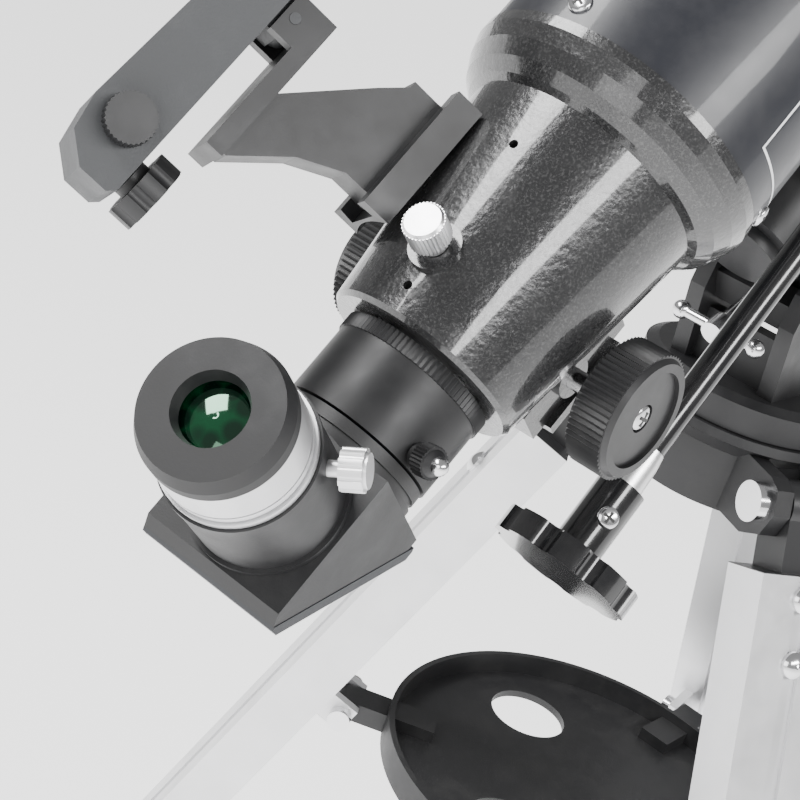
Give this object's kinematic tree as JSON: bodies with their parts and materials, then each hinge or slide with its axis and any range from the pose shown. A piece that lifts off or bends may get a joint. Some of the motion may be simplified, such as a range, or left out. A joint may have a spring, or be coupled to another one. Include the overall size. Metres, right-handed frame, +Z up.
{
  "type": "refractor telescope",
  "caption": "Small refractor telescope with rack and pinion focuser, star diagonal, eyepiece and red-dot finder on an equatorial mount and aluminium tripod.",
  "frame": {"origin": "on the floor, on the mount's azimuth axis, within 6 mm of the middle of the whole", "axes": "+Z up, +X the horizontal heading of the tube, +Y to its left"},
  "size_m": [0.6135, 0.5262, 1.0231],
  "materials": {
    "tube_paint": "satin black enamel",
    "hammertone": "glossy dark grey hammertone paint",
    "black_anodised": "satin black anodised",
    "black_paint": "satin black paint",
    "mirror_cover": "matte blue-black",
    "mirror_glass": "front-surface mirror",
    "lens_glass": "coated glass",
    "eye_glass": "green coated glass",
    "window_glass": "coated window",
    "satin_silver": "satin turned aluminium",
    "plated_steel": "bright plated",
    "drawn_steel": "satin plated",
    "black_rubber": "matte black",
    "black_plastic": "matte black",
    "finder_plastic": "fine textured dark grey",
    "gloss_black": "glossy black",
    "leg_aluminium": "satin silver extrusion with black top casting",
    "weight_iron": "satin black paint",
    "circle_metal": "satin with engraved graduations"
  },
  "bodies": {
    "tripod": {"tripod_hub": "black_paint", "tripod_bolts": "plated_steel", "upper_leg_a": "leg_aluminium", "upper_leg_b": "leg_aluminium", "upper_leg_c": "leg_aluminium", "tray": "black_paint"},
    "lower_a": {"lower_leg_a": "leg_aluminium"},
    "lower_b": {"lower_leg_b": "leg_aluminium"},
    "lower_c": {"lower_leg_c": "leg_aluminium"},
    "leg_lock_a": {"leg_knob_a": "black_plastic"},
    "leg_lock_b": {"leg_knob_b": "black_plastic"},
    "leg_lock_c": {"leg_knob_c": "black_plastic"},
    "azimuth_lock": {"azimuth_knob": "black_plastic"},
    "mount_base": {"latitude_base": "black_paint"},
    "latitude_screw": {"latitude_bolt": "plated_steel"},
    "polar_housing": {"ra_housing": "black_paint"},
    "ra_worm": {"ra_drive": "gloss_black"},
    "ra_lock": {"ra_lock_screw": "black_plastic"},
    "dec_head": {"dec_housing": "black_paint", "ra_circle": "circle_metal", "counterweight_shaft": "plated_steel"},
    "dec_worm": {"dec_drive_shaft": "gloss_black", "dec_control_knob": "gloss_black"},
    "dec_lock": {"dec_lock_screw": "black_plastic"},
    "weight": {"counterweight": "weight_iron"},
    "weight_lock": {"counterweight_screw": "black_plastic"},
    "tube": {"main_tube": "tube_paint", "dew_shield": "tube_paint", "objective_cell": "black_anodised", "objective_lenses": "lens_glass", "focuser_housing": "hammertone", "pinion_cover": "hammertone", "finder_shoe": "black_plastic", "finder_bracket": "black_plastic", "ring_lower": "black_paint", "saddle_plate": "black_paint", "dec_circle": "circle_metal"},
    "ring_rear": {"ring_upper_rear": "black_paint"},
    "ring_front": {"ring_upper_front": "black_paint"},
    "clamp_rear": {"ring_clamp_rear": "black_plastic"},
    "clamp_front": {"ring_clamp_front": "black_plastic"},
    "focus_draw": {"drawtube": "drawn_steel", "eyepiece_adapter": "black_anodised"},
    "focus_pinion": {"pinion_shaft": "plated_steel", "focus_knob_right": "black_plastic", "focus_knob_left": "black_plastic"},
    "focus_lock": {"focus_lock_screw": "satin_silver"},
    "adapter_screw": {"adapter_thumbscrew": "plated_steel"},
    "diagonal": {"diagonal_body": "black_paint", "diagonal_cover": "mirror_cover", "diagonal_mirror": "mirror_glass"},
    "diagonal_screw": {"diagonal_thumbscrew": "satin_silver"},
    "eyepiece": {"eyepiece_body": "satin_silver", "eyepiece_top": "black_rubber", "eyepiece_lenses": "eye_glass"},
    "finder": {"finder_body": "finder_plastic", "finder_window": "window_glass"},
    "finder_altitude": {"finder_altitude_knob": "black_plastic"},
    "finder_azimuth": {"finder_azimuth_knob": "black_plastic"},
    "finder_switch": {"finder_switch_knob": "black_plastic"}
  },
  "joints": [
    {"name": "leg_a_extend", "type": "slide", "parent": "tripod", "child": "lower_a", "axis": [0.3746, 0, -0.9272], "range_m": [0, 0.4]},
    {"name": "leg_a_lock_turn", "type": "hinge", "parent": "tripod", "child": "leg_lock_a", "pos_m": [0.25279, 0, 0.08988], "axis": [0.9272, 0, 0.3746], "range_deg": [-180, 180]},
    {"name": "leg_b_extend", "type": "slide", "parent": "tripod", "child": "lower_b", "axis": [-0.1873, 0.3244, -0.9272], "range_m": [0, 0.4]},
    {"name": "leg_b_lock_turn", "type": "hinge", "parent": "tripod", "child": "leg_lock_b", "pos_m": [-0.12639, 0.21892, 0.08988], "axis": [-0.4636, 0.803, 0.3746], "range_deg": [-180, 180]},
    {"name": "leg_c_extend", "type": "slide", "parent": "tripod", "child": "lower_c", "axis": [-0.1873, -0.3244, -0.9272], "range_m": [0, 0.4]},
    {"name": "leg_c_lock_turn", "type": "hinge", "parent": "tripod", "child": "leg_lock_c", "pos_m": [-0.12639, -0.21892, 0.08988], "axis": [-0.4636, -0.803, 0.3746], "range_deg": [-180, 180]},
    {"name": "azimuth_turn", "type": "hinge", "parent": "tripod", "child": "mount_base", "pos_m": [0, 0, 0.60185], "axis": [0, 0, 1], "range_deg": [-180, 180]},
    {"name": "azimuth_lock_turn", "type": "hinge", "parent": "tripod", "child": "azimuth_lock", "pos_m": [0, 0, 0.58685], "axis": [0.5, -0.866, 0], "range_deg": [-180, 180]},
    {"name": "latitude_tilt", "type": "hinge", "parent": "mount_base", "child": "polar_housing", "pos_m": [0, 0, 0.65885], "axis": [0, -1, 0], "range_deg": [-10, 6]},
    {"name": "latitude_bolt_turn", "type": "hinge", "parent": "mount_base", "child": "latitude_screw", "pos_m": [0, 0, 0.65885], "axis": [-0.866, 0, -0.5], "range_deg": [-180, 180]},
    {"name": "ra_turn", "type": "hinge", "parent": "polar_housing", "child": "dec_head", "pos_m": [-0.00233, 0, 0.72608], "axis": [0.6428, 0, 0.766], "range_deg": [-75, 75]},
    {"name": "ra_worm_turn", "type": "hinge", "parent": "polar_housing", "child": "ra_worm", "pos_m": [-0.00923, 0, 0.67182], "axis": [0, 1, 0], "range_deg": [-6001, 6001]},
    {"name": "ra_lock_turn", "type": "hinge", "parent": "polar_housing", "child": "ra_lock", "pos_m": [-0.04219, 0, 0.67859], "axis": [0, 1, 0], "range_deg": [-180, 180]},
    {"name": "dec_turn", "type": "hinge", "parent": "dec_head", "child": "tube", "pos_m": [-0.00233, 0, 0.72608], "axis": [-0.766, 0, 0.6428], "range_deg": [-180, 180]},
    {"name": "dec_worm_turn", "type": "hinge", "parent": "dec_head", "child": "dec_worm", "pos_m": [-0.02914, -0.03, 0.74858], "axis": [-0.592, 0, -0.8059], "range_deg": [-14402, 14402]},
    {"name": "dec_lock_turn", "type": "hinge", "parent": "dec_head", "child": "dec_lock", "pos_m": [-0.00233, 0, 0.72608], "axis": [0, 1, 0], "range_deg": [-180, 180]},
    {"name": "weight_slide", "type": "slide", "parent": "dec_head", "child": "weight", "axis": [0.766, 0, -0.6428], "range_m": [-0.055, 0.049]},
    {"name": "weight_lock_turn", "type": "hinge", "parent": "weight", "child": "weight_lock", "pos_m": [0.10568, 0, 0.63545], "axis": [0.6428, 0, 0.766], "range_deg": [-180, 180]},
    {"name": "ring_rear_open", "type": "hinge", "parent": "tube", "child": "ring_rear", "pos_m": [-0.11812, 0.054, 0.75144], "axis": [-0.6428, 0, -0.766], "range_deg": [0, 75]},
    {"name": "clamp_rear_turn", "type": "hinge", "parent": "ring_rear", "child": "clamp_rear", "pos_m": [-0.11812, -0.0575, 0.75144], "axis": [-0.766, 0, 0.6428], "range_deg": [-180, 180]},
    {"name": "ring_front_open", "type": "hinge", "parent": "tube", "child": "ring_front", "pos_m": [-0.04741, 0.054, 0.83571], "axis": [-0.6428, 0, -0.766], "range_deg": [0, 75]},
    {"name": "clamp_front_turn", "type": "hinge", "parent": "ring_front", "child": "clamp_front", "pos_m": [-0.04741, -0.0575, 0.83571], "axis": [-0.766, 0, 0.6428], "range_deg": [-180, 180]},
    {"name": "focus_slide", "type": "slide", "parent": "tube", "child": "focus_draw", "axis": [-0.6428, 0, -0.766], "range_m": [0, 0.075]},
    {"name": "focus_pinion_turn", "type": "hinge", "parent": "tube", "child": "focus_pinion", "pos_m": [-0.17591, 0, 0.64524], "axis": [0, -1, 0], "range_deg": [0, 878]},
    {"name": "focus_lock_turn", "type": "hinge", "parent": "tube", "child": "focus_lock", "pos_m": [-0.19873, 0, 0.65538], "axis": [-0.766, 0, 0.6428], "range_deg": [-180, 180]},
    {"name": "adapter_screw_turn", "type": "hinge", "parent": "focus_draw", "child": "adapter_screw", "pos_m": [-0.22521, 0, 0.62382], "axis": [-0.2745, -0.9336, 0.2304], "range_deg": [-180, 180]},
    {"name": "diagonal_rotate", "type": "hinge", "parent": "focus_draw", "child": "diagonal", "pos_m": [-0.22804, 0, 0.62045], "axis": [0.6428, 0, 0.766], "range_deg": [-90, 90]},
    {"name": "diagonal_screw_turn", "type": "hinge", "parent": "diagonal", "child": "diagonal_screw", "pos_m": [-0.27728, -0.00608, 0.62704], "axis": [0.4287, -0.8447, 0.3204], "range_deg": [-180, 180]},
    {"name": "eyepiece_pull", "type": "slide", "parent": "diagonal", "child": "eyepiece", "axis": [-0.7581, -0.1435, 0.6361], "range_m": [0, 0.026]},
    {"name": "finder_tilt", "type": "hinge", "parent": "tube", "child": "finder", "pos_m": [-0.23057, 0.05869, 0.70873], "axis": [0.5417, 0.7071, -0.4545], "range_deg": [-1.5, 1.5]},
    {"name": "finder_altitude_turn", "type": "hinge", "parent": "finder", "child": "finder_altitude", "pos_m": [-0.26647, 0.0594, 0.66705], "axis": [-0.5417, 0.7071, 0.4545], "range_deg": [-451, 451]},
    {"name": "finder_azimuth_turn", "type": "hinge", "parent": "finder", "child": "finder_azimuth", "pos_m": [-0.2418, 0.07637, 0.69205], "axis": [0.5417, 0.7071, -0.4545], "range_deg": [-180, 180]},
    {"name": "finder_switch_turn", "type": "hinge", "parent": "finder", "child": "finder_switch", "pos_m": [-0.27605, 0.05798, 0.68423], "axis": [-0.5417, -0.7071, 0.4545], "range_deg": [0, 270]}
  ],
  "couplings": [
    {"joint": "focus_pinion_turn", "follows": "focus_slide", "rad_per_m": 204.08},
    {"joint": "ra_worm_turn", "follows": "ra_turn", "ratio": 80},
    {"joint": "dec_worm_turn", "follows": "dec_turn", "ratio": 80},
    {"joint": "finder_altitude_turn", "follows": "finder_tilt", "ratio": 300}
  ]
}
